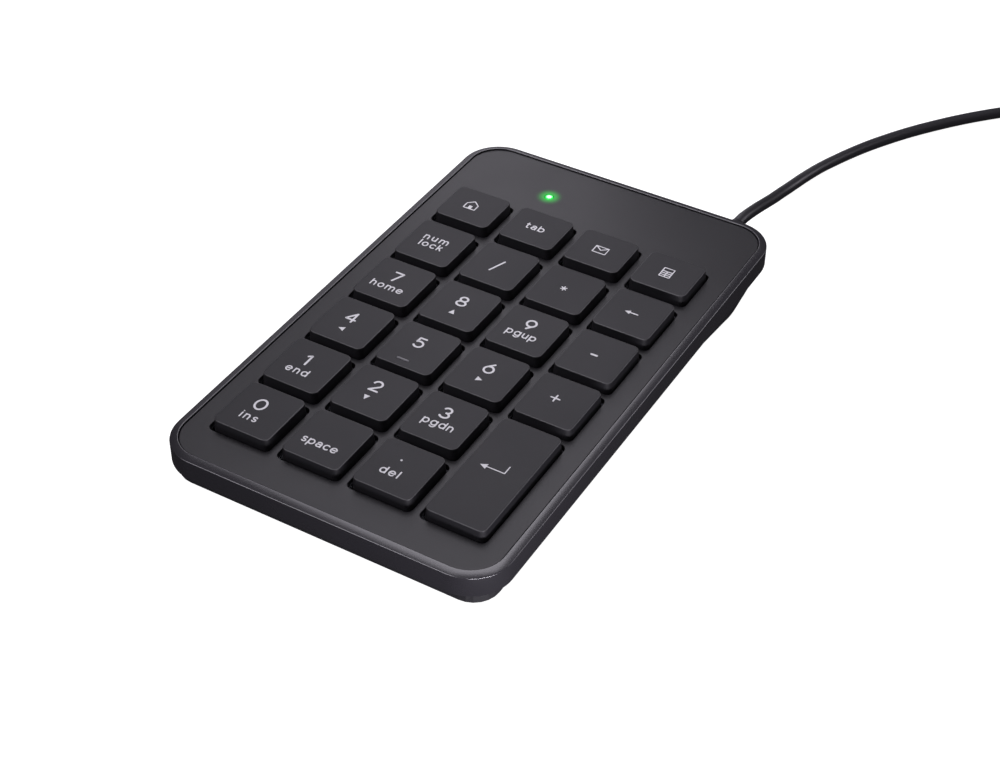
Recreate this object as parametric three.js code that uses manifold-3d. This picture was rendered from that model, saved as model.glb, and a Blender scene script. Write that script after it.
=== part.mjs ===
// Wired numeric keypad: 23 travelling keys in a slim two-piece housing.
// Millimetres, +Z up. The housing is designed level, with z = 0 just under the face of the top
// plate, then tipped back by TILT so that its four feet stand on the ground plane.
import * as THREE from "three";
import { mergeVertices } from "three/addons/utils/BufferGeometryUtils.js";
import Module from "manifold-3d";

const wasm = await Module();
wasm.setup();

// ---- driving dimensions ----
const GAP = 0.3;              // clearance kept between neighbouring pieces
const WIDTH = 89.2;           // housing, across
const LENGTH = 148.6;         // housing, front to rear
const CORNER = 10.5;          // housing corner radius
const RIM_OUTER = 0.2;        // height of the rim's outer edge
const RIM_TOP = 0.75;         // height of its inner edge, next to the plate
const RIM_WIDTH = 2.05;       // sloping band round the plate
const RIM_EDGE = 0.35;        // bevel on the outer edge of the rim
const WALL_BOTTOM = -5.4;     // lower edge of the upper frame
const WALL = 1.7;             // upper frame wall
const LEDGE_TOP = -1.5;       // shelf that carries the plate
const LEDGE_BOTTOM = -2.7;
const LEDGE_WIDTH = 6.5;
const PLATE_TOP = 0.3;
const PLATE_BOTTOM = -1.2;

const BASE_INSET = 2.2;       // bottom cover stands in from the upper frame
const BASE_CORNER = 6.5;
const BASE_BOTTOM = -9.3;
const BASE_LIP = -4.5;        // top of the bottom cover's lip, inside the frame
const BASE_LIP_INSET = 2.4;
const BASE_INNER = 3.2;       // inset of the bottom cover's inner wall
const BASE_FLOOR = -7.9;      // inner face of the bottom cover
const RIDGE_CREST_Y = 51.7;   // rear swell that tips the keypad forward
const RIDGE_DROP = 2.7;
const RIDGE_FRONT = 20.5;     // run of the swell's front flank
const RIDGE_REAR = 11.8;

const PITCH = 19.05;          // key pitch, both ways
const COLUMNS = 4;
const KEY_W = 15.4;           // key top across, at the foot of its edge bevel
const KEY_L = 16.1;           // key top front to rear
const KEY_L_SHORT = 14.0;     // the rear row of keys
const KEY_TOP = 2.78;
const KEY_EDGE = 0.25;        // bevel on the key's top edge
const KEY_CORNER = 1.6;
const KEY_FLARE = 0.5;        // widening from top to skirt
const KEY_SKIRT = -1.0;
const KEY_CEILING = 1.5;
const KEY_WALL = 1.1;
const KEY_FIELD_X = -28.55;   // centre of the left column
const FRONT_EDGE_Y = -62.0;   // front edge of the front row's tops
const REAR_ROW_EDGE_Y = 34.1; // front edge of the rear row's tops
const OPENING_MARGIN = [0.78, 0.7];   // opening over the key top, each side: across, front to rear
const OPENING_SHIFT = [-0.2, -0.13];  // opening's centre from the key's
const OPENING_CORNER = 1.5;
const TRAVEL = 2.1;           // key travel, quoted again in record.json

const STEM = 4.8;
const STEM_BOTTOM = -4.6;
const POST = 3.0;             // side guide posts of the tall key
const POST_OFFSET = 10;
const SLEEVE_GAP = 0.4;
const SLEEVE_WALL = 1.0;
const SLEEVE_TOP = -1.2;
const CHASSIS_TOP = -3.4;
const CHASSIS_BOTTOM = -4.3;
const CHASSIS_W = 81.0;

const SHEET_W = 71.2;         // dome sheet and membrane, across
const SHEET_FRONT_Y = -64.5;
const SHEET_REAR_Y = 50.5;
const DOME_TOP = -4.9;
const DOME_SHEET_TOP = -6.6;
const DOME_SHEET_BOTTOM = -7.0;
const MEMBRANE_TOP = -7.3;
const MEMBRANE_BOTTOM = -7.6;

const BOARD_TOP = -6.0;
const BOARD_BOTTOM = -7.0;
const BOARD_Y = 59.5;
const BOARD_POSTS = [[-20, 56], [22, 56], [-20, 63], [22, 63]];

const BOSS_R = 2.0;           // screw bosses that hang from the ledge, outside the key field
const BOSS_BORE = 1.1;
const BOSS_BOTTOM = -6.7;
const BOSSES = [[-39, -56], [39, -56], [-39, 30], [39, 30], [0, 68.6]];
const SEAT_R = 2.6;           // rings on the bottom cover's floor, under the bosses
const HEAD_HOLE = 2.4;        // screw head recess and its depth
const HEAD_DEPTH = 1.25;
const SHANK_HOLE = 1.2;

const LED_X = -15.35;
const LED_Y = 58.4;
const CORD_X = 30.0;          // where the cord leaves the rear wall
const CORD_Z = -5.6;
const CORD_D = 3.2;
const CORD_HOLE = 2.35;
const RELIEF_LENGTH = 6.5;    // strain relief outside the rear wall

const FOOT_FRONT_Y = -64.0;
const FOOT_REAR_Y = RIDGE_CREST_Y;
const FOOT_STAND = 0.5;       // front feet stand this much proud
const REAR_STAND = 0.6;       // rear feet, below the crest
const FOOT_LEAN = 0.25;       // the tilt carries the recesses this far to the rear
const FOOT_THICK = 1.0;
const FOOT_RECESS = 0.8;
const FOOT_FIT = 0.3;         // recess round each foot
const FOOT_R = 4.0;           // front feet
const FOOT_BAR = [16, 5, 2.4];  // rear feet: across, front to rear, corner radius
const FRONT_FEET = [[-31, FOOT_FRONT_Y], [31, FOOT_FRONT_Y]];
const REAR_FEET = [[-29, FOOT_REAR_Y], [29, FOOT_REAR_Y]];
const LABEL = [45, 29, 1.2];    // rating label: across, front to rear, corner radius
const LABEL_Y = -12;
const LABEL_RECESS = 0.25;
const TILT = Math.atan2(RIDGE_DROP + REAR_STAND - FOOT_STAND, FOOT_REAR_Y - FOOT_FRONT_Y);
const LIFT = -(FOOT_FRONT_Y * Math.sin(TILT) + (BASE_BOTTOM - FOOT_STAND) * Math.cos(TILT));
const SHIFT_Y = -0.07;        // brings the tipped box's centre back to y = 0

// ---- materials ----
function plastic(color, roughness, metalness = 0) {
  return new THREE.MeshStandardMaterial({ color, roughness, metalness });
}
const MAT = {
  rim: plastic(0x3a3a3e, 0.28),
  plate: plastic(0x2b2b2f, 0.55),
  base: plastic(0x1c1c1f, 0.6),
  key: plastic(0x29292d, 0.6),
  inner: plastic(0x55575c, 0.6),
  silicone: plastic(0xb9bcc0, 0.7),
  film: plastic(0x8d9aa5, 0.35),
  board: plastic(0x1f6b3a, 0.5),
  chip: plastic(0x111114, 0.5),
  lens: plastic(0x7dffb0, 0.2),
  rubber: plastic(0x141416, 0.9),
  cord: plastic(0x1b1b1e, 0.5),
  steel: plastic(0xb8bbc0, 0.3, 1),
};

// ---- solids ----
function toManifold(geometry) {
  const g = geometry.clone();
  g.deleteAttribute("normal");
  g.deleteAttribute("uv");
  const merged = mergeVertices(g, 1e-4);
  return new wasm.Manifold(new wasm.Mesh({
    numProp: 3,
    vertProperties: new Float32Array(merged.attributes.position.array),
    triVerts: new Uint32Array(merged.index.array),
  }));
}

function toGeometry(manifold) {
  const mesh = manifold.getMesh();
  const g = new THREE.BufferGeometry();
  g.setAttribute("position", new THREE.BufferAttribute(mesh.vertProperties, 3));
  g.setIndex(new THREE.BufferAttribute(mesh.triVerts, 1));
  return g;
}

function union(first, ...rest) {
  return rest.reduce((sum, s) => sum.add(s), first);
}

function cut(first, ...rest) {
  return rest.reduce((sum, s) => sum.subtract(s), first);
}

// corner points of a rounded rectangle centred on (x, y), counterclockwise
function roundedPoints(width, length, radius, segments, x = 0, y = 0) {
  const points = [];
  for (let corner = 0; corner < 4; corner++) {
    const sx = corner === 0 || corner === 3 ? 1 : -1;
    const sy = corner < 2 ? 1 : -1;
    for (let k = 0; k <= segments; k++) {
      const a = (corner + k / segments) * Math.PI / 2;
      points.push(new THREE.Vector2(
        x + sx * (width / 2 - radius) + radius * Math.cos(a),
        y + sy * (length / 2 - radius) + radius * Math.sin(a)));
    }
  }
  return points;
}

// closed body through convex outlines stacked in z; every outline has as many points
function loft(levels) {
  const position = [];
  const index = [];
  const n = levels[0].points.length;
  for (const { points, z } of levels) {
    for (const p of points) position.push(p.x, p.y, z);
  }
  for (let level = 0; level + 1 < levels.length; level++) {
    for (let i = 0; i < n; i++) {
      const a = level * n + i;
      const b = level * n + (i + 1) % n;
      index.push(a, b, b + n, a, b + n, a + n);
    }
  }
  const top = (levels.length - 1) * n;
  for (let i = 1; i + 1 < n; i++) {
    index.push(0, i + 1, i);
    index.push(top, top + i, top + i + 1);
  }
  const g = new THREE.BufferGeometry();
  g.setAttribute("position", new THREE.Float32BufferAttribute(position, 3));
  g.setIndex(index);
  return toManifold(g);
}

function slab(points, bottom, top) {
  return loft([{ points, z: bottom }, { points, z: top }]);
}

function roundedSlab(width, length, radius, segments, bottom, top, x = 0, y = 0) {
  return slab(roundedPoints(width, length, radius, segments, x, y), bottom, top);
}

function block(width, length, bottom, top, x = 0, y = 0) {
  const g = new THREE.BoxGeometry(width, length, top - bottom);
  return toManifold(g.translate(x, y, (bottom + top) / 2));
}

function cylinder(radius, bottom, top, sides, x = 0, y = 0, topRadius = radius) {
  const g = new THREE.CylinderGeometry(topRadius, radius, top - bottom, sides);
  return toManifold(g.rotateX(Math.PI / 2).translate(x, y, (bottom + top) / 2));
}

// a turned piece along +Y, from [radius, y] pairs that start and end on the axis
function turnedAlongY(profile, sides, x, z) {
  const points = profile.map(([r, y]) => new THREE.Vector2(r, y));
  return toManifold(new THREE.LatheGeometry(points, sides).translate(x, 0, z));
}

// ---- the key field ----
const KEYS = [
  // name, column, row (0 is the rear row), rows it spans
  ["key_home_page", 0, 0, 1], ["key_tab", 1, 0, 1], ["key_mail", 2, 0, 1], ["key_calculator", 3, 0, 1],
  ["key_numlock", 0, 1, 1], ["key_divide", 1, 1, 1], ["key_multiply", 2, 1, 1], ["key_backspace", 3, 1, 1],
  ["key_7", 0, 2, 1], ["key_8", 1, 2, 1], ["key_9", 2, 2, 1], ["key_minus", 3, 2, 1],
  ["key_4", 0, 3, 1], ["key_5", 1, 3, 1], ["key_6", 2, 3, 1], ["key_plus", 3, 3, 1],
  ["key_1", 0, 4, 1], ["key_2", 1, 4, 1], ["key_3", 2, 4, 1], ["key_enter", 3, 5, 2],
  ["key_0", 0, 5, 1], ["key_space", 1, 5, 1], ["key_point", 2, 5, 1],
];
const FRONT_ROW = 5;

function keyPlace([name, column, row, span]) {
  const front = row === 0 ? REAR_ROW_EDGE_Y : FRONT_EDGE_Y + (FRONT_ROW - row) * PITCH;
  const length = (row === 0 ? KEY_L_SHORT : KEY_L) + (span - 1) * PITCH;
  return { name, x: KEY_FIELD_X + column * PITCH, y: front + length / 2, length, tall: span > 1 };
}

const PLACES = KEYS.map(keyPlace);

function plungers(place) {
  const list = [{ size: STEM, y: 0 }];
  if (place.tall) list.push({ size: POST, y: -POST_OFFSET }, { size: POST, y: POST_OFFSET });
  return list;
}

// a hollow keycap centred on x = y = 0, with its stem
function keycap(length, tall) {
  const outline = (grow, radius) => roundedPoints(KEY_W + grow, length + grow, radius, 2);
  const shell = loft([
    { points: outline(KEY_FLARE, KEY_CORNER + KEY_FLARE / 2), z: KEY_SKIRT },
    { points: outline(0, KEY_CORNER), z: KEY_TOP - KEY_EDGE },
    { points: outline(-2 * KEY_EDGE, KEY_CORNER - KEY_EDGE), z: KEY_TOP },
  ]);
  const hollow = block(KEY_W - 2 * KEY_WALL, length - 2 * KEY_WALL, KEY_SKIRT - 1, KEY_CEILING);
  const stems = plungers({ tall }).map(({ size, y }) => block(size, size, STEM_BOTTOM,
    KEY_CEILING + 0.2, 0, y));
  return toGeometry(union(cut(shell, hollow), ...stems));
}

// ---- housing ----
function upperFrame() {
  const outline = (grow) => roundedPoints(WIDTH + grow, LENGTH + grow, CORNER + grow / 2, 6);
  const slope = (RIM_TOP - RIM_OUTER) / (RIM_WIDTH - RIM_EDGE);
  const past = 0.5;           // the band is drawn on past its inner edge, then cut back
  const outer = loft([
    { points: outline(0), z: WALL_BOTTOM },
    { points: outline(0), z: RIM_OUTER - RIM_EDGE },
    { points: outline(-2 * RIM_EDGE), z: RIM_OUTER },
    { points: outline(-2 * (RIM_WIDTH + past)), z: RIM_TOP + past * slope },
  ]);
  const inside = (inset, bottom, top) => roundedSlab(WIDTH - 2 * inset, LENGTH - 2 * inset,
    CORNER - inset, 6, bottom, top);
  const bosses = BOSSES.map(([x, y]) => cylinder(BOSS_R, BOSS_BOTTOM, LEDGE_BOTTOM + 0.2, 12, x, y));
  const bores = BOSSES.map(([x, y]) => cylinder(BOSS_BORE, BOSS_BOTTOM - 1, LEDGE_TOP - 0.5, 8, x, y));
  const ring = cut(outer,
    inside(RIM_WIDTH, LEDGE_TOP, 2),
    inside(LEDGE_WIDTH, LEDGE_BOTTOM - 1, LEDGE_TOP + 0.5),
    inside(WALL, WALL_BOTTOM - 1, LEDGE_BOTTOM));
  return toGeometry(cut(union(ring, ...bosses), ...bores, cordHole(CORD_HOLE)));
}

function cordHole(radius) {
  const g = new THREE.CylinderGeometry(radius, radius, 8, 10);
  return toManifold(g.translate(CORD_X, LENGTH / 2 - 1, CORD_Z));
}

function topPlate() {
  const inset = RIM_WIDTH + GAP;
  const shape = new THREE.Shape(roundedPoints(WIDTH - 2 * inset, LENGTH - 2 * inset, CORNER - inset, 6));
  for (const place of PLACES) {
    shape.holes.push(new THREE.Path(roundedPoints(
      KEY_W + 2 * OPENING_MARGIN[0], place.length + 2 * OPENING_MARGIN[1], OPENING_CORNER, 2,
      place.x + OPENING_SHIFT[0], place.y + OPENING_SHIFT[1])));
  }
  shape.holes.push(new THREE.Path(roundedPoints(2.6, 2.6, 1.29, 2, LED_X, LED_Y)));
  return new THREE.ExtrudeGeometry(shape, { depth: PLATE_TOP - PLATE_BOTTOM, bevelEnabled: false })
    .translate(0, 0, PLATE_BOTTOM);
}

// the swell under the rear of the bottom cover, drawn front to rear and run across
function ridge(width) {
  const shape = new THREE.Shape();
  const crest = BASE_BOTTOM - RIDGE_DROP;
  shape.moveTo(RIDGE_CREST_Y - RIDGE_FRONT, BASE_BOTTOM + 0.5);
  shape.lineTo(RIDGE_CREST_Y - RIDGE_FRONT, BASE_BOTTOM);
  shape.lineTo(RIDGE_CREST_Y - 4, crest + 0.55);
  shape.quadraticCurveTo(RIDGE_CREST_Y, crest - 0.35, RIDGE_CREST_Y + 3, crest + 0.6);
  shape.lineTo(RIDGE_CREST_Y + RIDGE_REAR, BASE_BOTTOM);
  shape.lineTo(RIDGE_CREST_Y + RIDGE_REAR, BASE_BOTTOM + 0.5);
  const g = new THREE.ExtrudeGeometry(shape, { depth: width, bevelEnabled: false, curveSegments: 4 });
  g.rotateY(Math.PI / 2).rotateX(Math.PI / 2);
  return toManifold(g.translate(-width / 2, 0, 0));
}

function bottomCover() {
  const outline = (inset, radius = CORNER - inset) => roundedPoints(WIDTH - 2 * inset,
    LENGTH - 2 * inset, radius, 6);
  const edge = 0.5;
  const shoulder = WALL_BOTTOM - GAP;
  const outer = loft([
    { points: outline(BASE_INSET + edge, BASE_CORNER - edge), z: BASE_BOTTOM },
    { points: outline(BASE_INSET, BASE_CORNER), z: BASE_BOTTOM + edge },
    { points: outline(BASE_INSET, BASE_CORNER), z: shoulder },
    { points: outline(BASE_LIP_INSET), z: shoulder },
    { points: outline(BASE_LIP_INSET), z: BASE_LIP },
  ]);
  const inner = slab(outline(BASE_INNER), BASE_FLOOR, BASE_LIP + 1);
  const seats = BOSSES.map(([x, y]) => cylinder(SEAT_R, BASE_FLOOR - 0.2, BOSS_BOTTOM - GAP, 12, x, y));
  const heads = BOSSES.map(([x, y]) => cylinder(HEAD_HOLE, BASE_BOTTOM - 1, BASE_BOTTOM + HEAD_DEPTH,
    12, x, y));
  const shanks = BOSSES.map(([x, y]) => cylinder(SHANK_HOLE, BASE_BOTTOM, BASE_FLOOR + 2, 8, x, y));
  const pads = FRONT_FEET.map(([x, y]) => cylinder(FOOT_R + FOOT_FIT, BASE_BOTTOM - 1,
    BASE_BOTTOM + FOOT_RECESS, 16, x, y));
  const [barW, barL, barR] = FOOT_BAR;
  const bars = REAR_FEET.map(([x, y]) => roundedSlab(barW + 2 * FOOT_FIT, barL + 2 * FOOT_FIT,
    barR + FOOT_FIT, 3, BASE_BOTTOM - 5, BASE_BOTTOM - RIDGE_DROP + FOOT_RECESS, x, y));
  const label = roundedSlab(LABEL[0] + 1, LABEL[1] + 1, LABEL[2] + 0.5, 2, BASE_BOTTOM - 1,
    BASE_BOTTOM + LABEL_RECESS, 0, LABEL_Y);
  const posts = BOARD_POSTS.map(([x, y]) => cylinder(1.5, BASE_FLOOR - 0.2, BOARD_BOTTOM - GAP, 8, x, y));
  const body = union(cut(union(outer, ridge(WIDTH - 2 * BASE_INSET)), inner), ...seats, ...posts);
  return toGeometry(cut(body, ...heads, ...shanks, ...pads, ...bars, label, cordHole(CORD_HOLE)));
}

function ratingLabel() {
  return toGeometry(roundedSlab(...LABEL, 2, BASE_BOTTOM - 0.2, BASE_BOTTOM - 0.05, 0, LABEL_Y));
}

// ---- inside ----
function chassis() {
  const plate = roundedSlab(CHASSIS_W, SHEET_REAR_Y - SHEET_FRONT_Y + 3, 2, 2, CHASSIS_BOTTOM, CHASSIS_TOP,
    0, (SHEET_REAR_Y + SHEET_FRONT_Y) / 2);
  const sleeves = [];
  const holes = [];
  for (const place of PLACES) {
    for (const { size, y } of plungers(place)) {
      const bore = size + 2 * SLEEVE_GAP;
      const tube = bore + 2 * SLEEVE_WALL;
      sleeves.push(block(tube, tube, CHASSIS_BOTTOM + 0.2, SLEEVE_TOP, place.x, place.y + y));
      holes.push(block(bore, bore, CHASSIS_BOTTOM - 1, SLEEVE_TOP + 1, place.x, place.y + y));
    }
  }
  const clear = BOSSES.map(([x, y]) => cylinder(BOSS_R + 0.5, CHASSIS_BOTTOM - 1, CHASSIS_TOP + 1, 12, x, y));
  return toGeometry(cut(union(plate, ...sleeves), ...holes, ...clear));
}

function domeSheet() {
  const sheet = block(SHEET_W, SHEET_REAR_Y - SHEET_FRONT_Y, DOME_SHEET_BOTTOM, DOME_SHEET_TOP,
    0, (SHEET_REAR_Y + SHEET_FRONT_Y) / 2);
  const domes = PLACES.map(({ x, y }) => cylinder(3.4, DOME_SHEET_TOP - 0.2, DOME_TOP, 10, x, y, 1.9));
  const hollows = PLACES.map(({ x, y }) => cylinder(2.9, DOME_SHEET_BOTTOM - 0.2, DOME_TOP - 0.6,
    10, x, y, 1.3));
  return toGeometry(cut(union(sheet, ...domes), ...hollows));
}

function membrane() {
  const sheet = block(SHEET_W, SHEET_REAR_Y - SHEET_FRONT_Y, MEMBRANE_BOTTOM, MEMBRANE_TOP,
    0, (SHEET_REAR_Y + SHEET_FRONT_Y) / 2);
  const tail = block(22, 12, MEMBRANE_BOTTOM, MEMBRANE_TOP, 1, SHEET_REAR_Y + 5);
  return toGeometry(union(sheet, tail));
}

function controllerBoard() {
  return toGeometry(roundedSlab(52, 12, 0.8, 1, BOARD_BOTTOM, BOARD_TOP, 2, BOARD_Y));
}

function controllerChip() {
  return toGeometry(block(9, 6, BOARD_TOP + GAP, BOARD_TOP + 1.4, 10, BOARD_Y));
}

function ledChip() {
  return toGeometry(block(1.6, 1.0, BOARD_TOP + GAP, BOARD_TOP + 0.9, LED_X, LED_Y));
}

function ledLens() {
  const pipe = cylinder(1.0, -4.8, PLATE_TOP + 0.02, 12, LED_X, LED_Y);
  const flange = cylinder(2.2, -2.4, -1.6, 12, LED_X, LED_Y);
  return toGeometry(union(pipe, flange));
}

// pan-head screw, head down, driven up into a boss
function screw(x, y) {
  const seat = BASE_BOTTOM + HEAD_DEPTH - GAP;
  const tip = seat + 3.7;
  const profile = [[0, seat - 0.7], [1.6, seat - 0.7], [2.05, seat - 0.4], [2.05, seat], [0.85, seat],
    [0.85, tip], [0, tip]];
  const points = profile.map(([r, z]) => new THREE.Vector2(r, z));
  const turned = toManifold(new THREE.LatheGeometry(points, 10).rotateX(Math.PI / 2).translate(x, y, 0));
  const slots = [[2.2, 0.5], [0.5, 2.2]].map(([w, l]) => block(w, l, seat - 1, seat - 0.3, x, y));
  return toGeometry(cut(turned, ...slots));
}

// ---- cord set ----
function strainRelief() {
  const wall = LENGTH / 2;
  const end = wall + RELIEF_LENGTH;
  const sleeve = turnedAlongY([[0, wall - 5], [1.9, wall - 5], [1.9, wall + 0.3], [2.2, wall + 0.8],
    [1.8, end], [0, end]], 12, CORD_X, CORD_Z);
  const flange = block(7, 1.3, CORD_Z - 2.0, CORD_Z + 2.5, CORD_X, wall - 4.2);
  return toGeometry(union(sleeve, flange));
}

// where the cord leaves the relief, seen in the tipped keypad
const RELIEF_END = new THREE.Vector3(CORD_X, LENGTH / 2 + RELIEF_LENGTH, CORD_Z)
  .applyAxisAngle(new THREE.Vector3(1, 0, 0), TILT)
  .add(new THREE.Vector3(0, SHIFT_Y, LIFT));
const CORD_REST = CORD_D / 2;   // height of the cord's centre where it lies on the ground

// the cord's route from the relief to the coil, chosen by hand
const ROUTE = [
  [30.1, 84.5, 7.6], [30.3, 88.0, 7.1], [30.5, 92.5, 6.2], [30.7, 97.5, 5.0], [30.9, 102.5, 3.8],
  [31.1, 107.5, 2.8], [31.5, 112.0, 2.1], [32.1, 116.5, 1.7], [33.0, 121.0, CORD_REST],
  [34.7, 127.4, CORD_REST], [37.1, 134.2, CORD_REST], [40.0, 141.4, CORD_REST],
  [43.5, 148.8, CORD_REST], [48.8, 158.3, CORD_REST], [54.8, 167.4, CORD_REST],
  [61.4, 176.2, CORD_REST], [68.6, 184.5, CORD_REST], [76.4, 192.3, CORD_REST],
  [84.6, 199.5, CORD_REST], [91.0, 204.6, CORD_REST],
];

const COIL_X = 115.0;
const COIL_Y = 194.6;
const COIL_RADIUS = 19.2;      // middle of the turns
const COIL_COLUMNS = 3;
const COIL_LAYERS = 4;
const COIL_BOTTOM = 1.0;       // the tie passes under the turns
const COIL_TOP = COIL_BOTTOM + COIL_LAYERS * CORD_D;
const COIL_INNER = COIL_RADIUS - COIL_COLUMNS * CORD_D / 2;
const COIL_OUTER = COIL_RADIUS + COIL_COLUMNS * CORD_D / 2;
const TIE_WIDTH = 4.0;
const TIE_THICK = 0.7;

const PLUG_Z = 4.0;            // centre height of the plug body
const PLUG_X = COIL_X + COIL_OUTER - CORD_D / 2;
const PLUG_REAR_Y = 156;
const PLUG_LENGTH = 30;
const SHELL_LENGTH = 13.7;

// the short end of the cord, from the coil's top turn down to the plug
const TAIL = [
  [PLUG_X, 181.4, COIL_TOP - CORD_D / 2], [PLUG_X, 177.5, 11.8], [PLUG_X, 172.5, 10.2],
  [PLUG_X, 167.5, 7.4], [PLUG_X, 162.5, 4.9], [PLUG_X, 159.0, 4.1], [PLUG_X, PLUG_REAR_Y + GAP, PLUG_Z],
];

function tube(points, step) {
  const curve = new THREE.CatmullRomCurve3(points.map((p) => new THREE.Vector3(...p)));
  const shape = new THREE.Shape();
  const sides = 8;
  for (let k = 0; k < sides; k++) {
    const a = (k + 0.5) / sides * 2 * Math.PI;
    const radius = CORD_D / 2;
    if (k === 0) shape.moveTo(radius * Math.cos(a), radius * Math.sin(a));
    else shape.lineTo(radius * Math.cos(a), radius * Math.sin(a));
  }
  const steps = Math.round(curve.getLength() / step);
  return new THREE.ExtrudeGeometry(shape, { steps, extrudePath: curve, bevelEnabled: false });
}

function cordLead() {
  const start = [RELIEF_END.x, RELIEF_END.y + GAP, RELIEF_END.z];
  return tube([start, ...ROUTE], 2.5 * CORD_D);
}

function cordCoil() {
  const bevel = 0.8;
  const profile = [
    [COIL_INNER, COIL_BOTTOM + bevel], [COIL_INNER + bevel, COIL_BOTTOM], [COIL_OUTER - bevel, COIL_BOTTOM],
    [COIL_OUTER, COIL_BOTTOM + bevel], [COIL_OUTER, COIL_TOP - bevel], [COIL_OUTER - bevel, COIL_TOP],
    [COIL_INNER + bevel, COIL_TOP], [COIL_INNER, COIL_TOP - bevel], [COIL_INNER, COIL_BOTTOM + bevel],
  ];
  const points = profile.map(([r, z]) => new THREE.Vector2(r, z));
  return new THREE.LatheGeometry(points, 40).rotateX(Math.PI / 2).translate(COIL_X, COIL_Y, 0);
}

// a strap looped round the coil's turns, on the side toward the keypad
function cordTie() {
  const width = COIL_OUTER - COIL_INNER + 2 * GAP;
  const height = COIL_TOP - COIL_BOTTOM + 2 * GAP;
  const outer = block(width + 2 * TIE_THICK, TIE_WIDTH, 0, height + 2 * TIE_THICK);
  const inner = block(width, TIE_WIDTH + 2, TIE_THICK, height + TIE_THICK);
  return toGeometry(cut(outer, inner)).translate(COIL_RADIUS, 0, COIL_BOTTOM - GAP - TIE_THICK)
    .rotateZ(-2.2).translate(COIL_X, COIL_Y, 0);
}

// rounded rectangle section run along -Y from a rear face
function plugBar(width, height, radius, rear, length) {
  const g = new THREE.ExtrudeGeometry(new THREE.Shape(roundedPoints(width, height, radius, 3)),
    { depth: length, bevelEnabled: false });
  return toManifold(g.rotateX(Math.PI / 2).translate(PLUG_X, rear, PLUG_Z));
}

function plugBody() {
  return toGeometry(plugBar(16, 8, 2, PLUG_REAR_Y, PLUG_LENGTH));
}

function plugShell() {
  const rear = PLUG_REAR_Y - PLUG_LENGTH - GAP;
  const outer = plugBar(12, 4.5, 0.5, rear, SHELL_LENGTH);
  const windows = [-2.9, 2.9].map((x) => block(2.2, 2.2, PLUG_Z - 5, PLUG_Z + 5, PLUG_X + x,
    rear - SHELL_LENGTH + 6.3));
  return toGeometry(cut(outer, plugBar(11.2, 3.7, 0.3, rear + 1, SHELL_LENGTH + 2), ...windows));
}

function plugTongue() {
  const rear = PLUG_REAR_Y - PLUG_LENGTH - GAP;
  const middle = rear - SHELL_LENGTH / 2 + 0.3;
  return toGeometry(block(10.4, SHELL_LENGTH - 1.6, PLUG_Z + 0.05, PLUG_Z + 1.45, PLUG_X, middle));
}

// front feet are discs, rear feet are bars; both stand level on the ground plane
function foot(shape, [x, y]) {
  const level = new THREE.Vector3(x, y, 0).applyAxisAngle(new THREE.Vector3(1, 0, 0), TILT);
  const footY = level.y + SHIFT_Y + FOOT_LEAN;
  const piece = shape === "disc"
    ? cylinder(FOOT_R, 0, FOOT_THICK, 16, x, footY)
    : roundedSlab(...FOOT_BAR, 3, 0, FOOT_THICK, x, footY);
  return toGeometry(piece);
}

// ---- assembly ----
const part = new THREE.Group();
const keypad = new THREE.Group();
keypad.rotation.x = TILT;
keypad.position.set(0, SHIFT_Y, LIFT);
part.add(keypad);

function addTo(group, name, geometry, material) {
  const mesh = new THREE.Mesh(geometry, material);
  mesh.name = name;
  group.add(mesh);
  return mesh;
}

addTo(keypad, "upper_frame", upperFrame(), MAT.rim);
addTo(keypad, "top_plate", topPlate(), MAT.plate);
addTo(keypad, "bottom_cover", bottomCover(), MAT.base);
addTo(keypad, "key_guide_chassis", chassis(), MAT.inner);
addTo(keypad, "dome_sheet", domeSheet(), MAT.silicone);
addTo(keypad, "membrane_circuit", membrane(), MAT.film);
addTo(keypad, "controller_board", controllerBoard(), MAT.board);
addTo(keypad, "controller_chip", controllerChip(), MAT.chip);
addTo(keypad, "led_chip", ledChip(), MAT.lens);
addTo(keypad, "led_lens", ledLens(), MAT.lens);
addTo(keypad, "rating_label", ratingLabel(), MAT.film);
addTo(keypad, "strain_relief", strainRelief(), MAT.rubber);
BOSSES.forEach(([x, y], i) => addTo(keypad, `case_screw_${i + 1}`, screw(x, y), MAT.steel));

const caps = new Map();
for (const place of PLACES) {
  if (!caps.has(place.length)) caps.set(place.length, keycap(place.length, place.tall));
  addTo(keypad, place.name, caps.get(place.length), MAT.key).position.set(place.x, place.y, 0);
}

FRONT_FEET.forEach((at, i) => addTo(part, `front_foot_${i + 1}`, foot("disc", at), MAT.rubber));
REAR_FEET.forEach((at, i) => addTo(part, `rear_foot_${i + 1}`, foot("bar", at), MAT.rubber));

addTo(part, "cord_lead", cordLead(), MAT.cord);
addTo(part, "cord_coil", cordCoil(), MAT.cord);
addTo(part, "cord_tail", tube(TAIL, 2 * CORD_D), MAT.cord);
addTo(part, "cord_tie", cordTie(), MAT.rubber);
addTo(part, "plug_body", plugBody(), MAT.cord);
addTo(part, "plug_shell", plugShell(), MAT.steel);
addTo(part, "plug_tongue", plugTongue(), MAT.inner);

export default part;
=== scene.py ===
"""Wired numeric keypad: keycaps, legends, housing shells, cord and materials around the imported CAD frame.

The housing is drawn in its own level frame in millimetres, with z = 0 just under the plate round the
keys, as the CAD source draws it, and is then tipped back onto its feet.
"""
import math

import bpy
from mathutils import Matrix, Vector


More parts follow.
